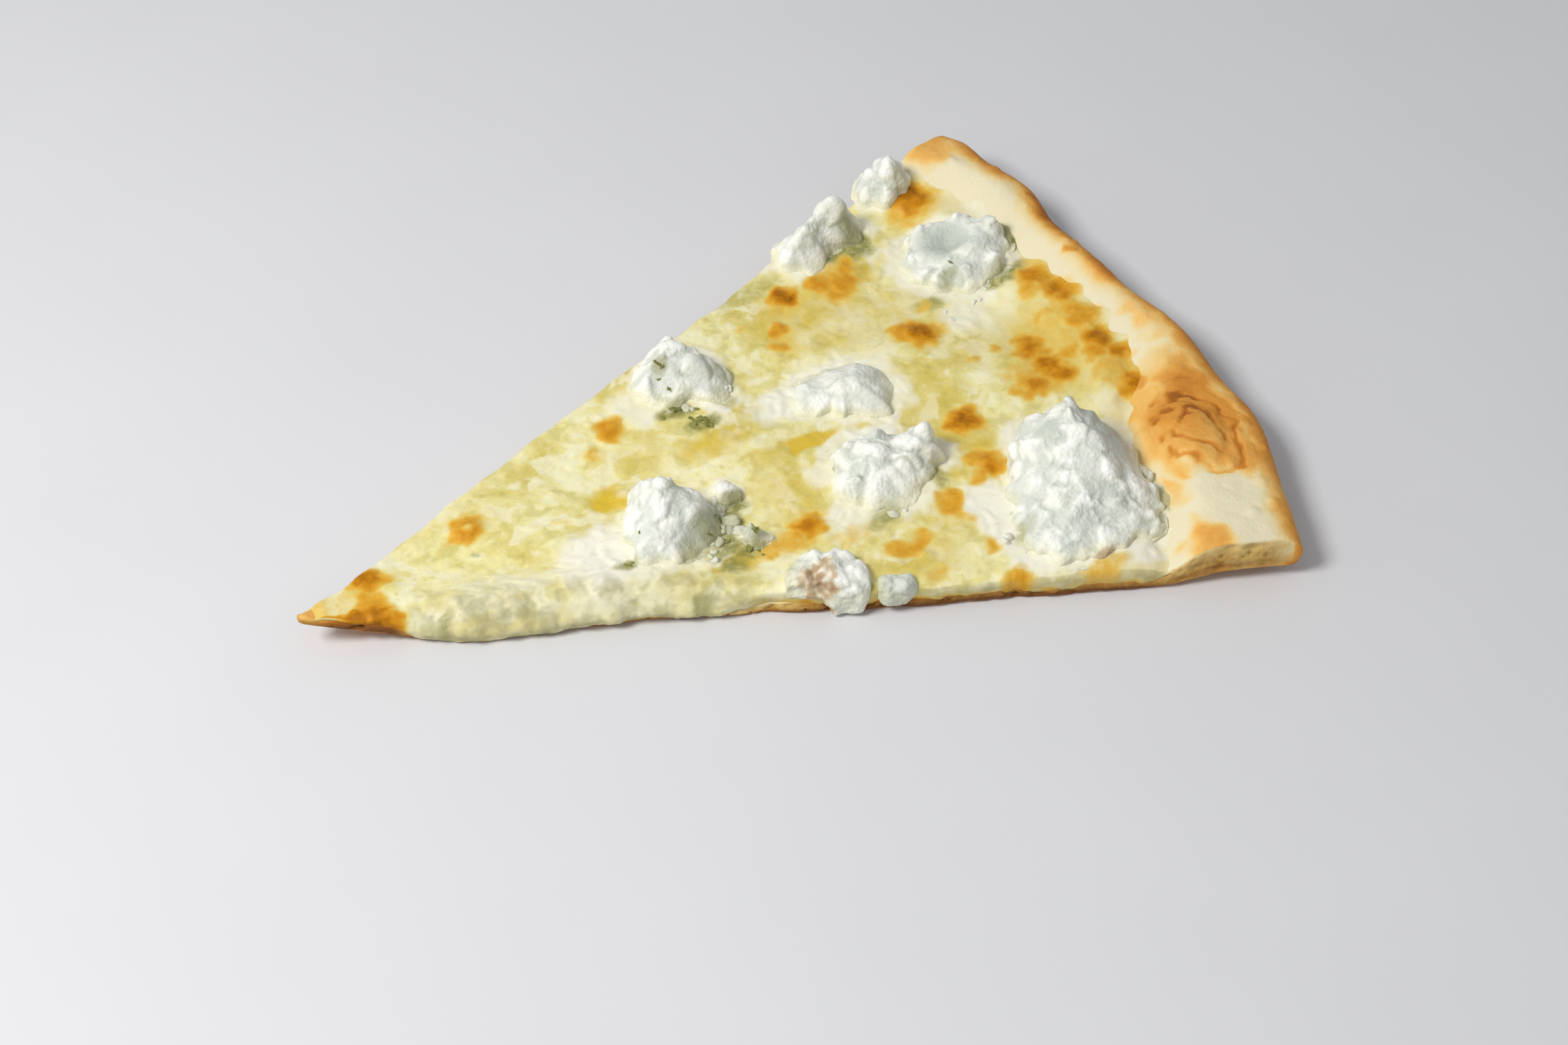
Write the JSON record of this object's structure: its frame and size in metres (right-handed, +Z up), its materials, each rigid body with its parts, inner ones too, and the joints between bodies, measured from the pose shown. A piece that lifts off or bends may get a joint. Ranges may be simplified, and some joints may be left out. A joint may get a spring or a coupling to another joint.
{
  "type": "pizza slice",
  "caption": "Triangular slice of thin white pizza with a raised browned rim, melted cheese and soft ricotta dollops.",
  "frame": {"origin": "middle of the bounding box's bottom, on the flat underside that the slice rests on", "axes": "+X along the slice's middle line from its point to the rim, +Y across it towards the back cut, +Z up out of the cheese"},
  "size_m": [0.2234, 0.166, 0.0265],
  "materials": {
    "crust": "baked bread, cream with browned edges",
    "cheese": "melted cheese, pale yellow with a slight oily shine",
    "ricotta": "soft white curd, matt to slightly moist"
  },
  "bodies": {
    "root": {"crust": "crust", "cheese": "cheese", "ricotta_back_corner": "ricotta", "ricotta_back_edge": "ricotta", "ricotta_large_back": "ricotta", "ricotta_left_edge": "ricotta", "ricotta_soft_middle": "ricotta", "ricotta_peak_middle": "ricotta", "ricotta_left_middle": "ricotta", "ricotta_right_large": "ricotta", "ricotta_small_left": "ricotta", "ricotta_small_peak": "ricotta", "ricotta_front_drip": "ricotta", "ricotta_front_small": "ricotta"}
  },
  "joints": []
}
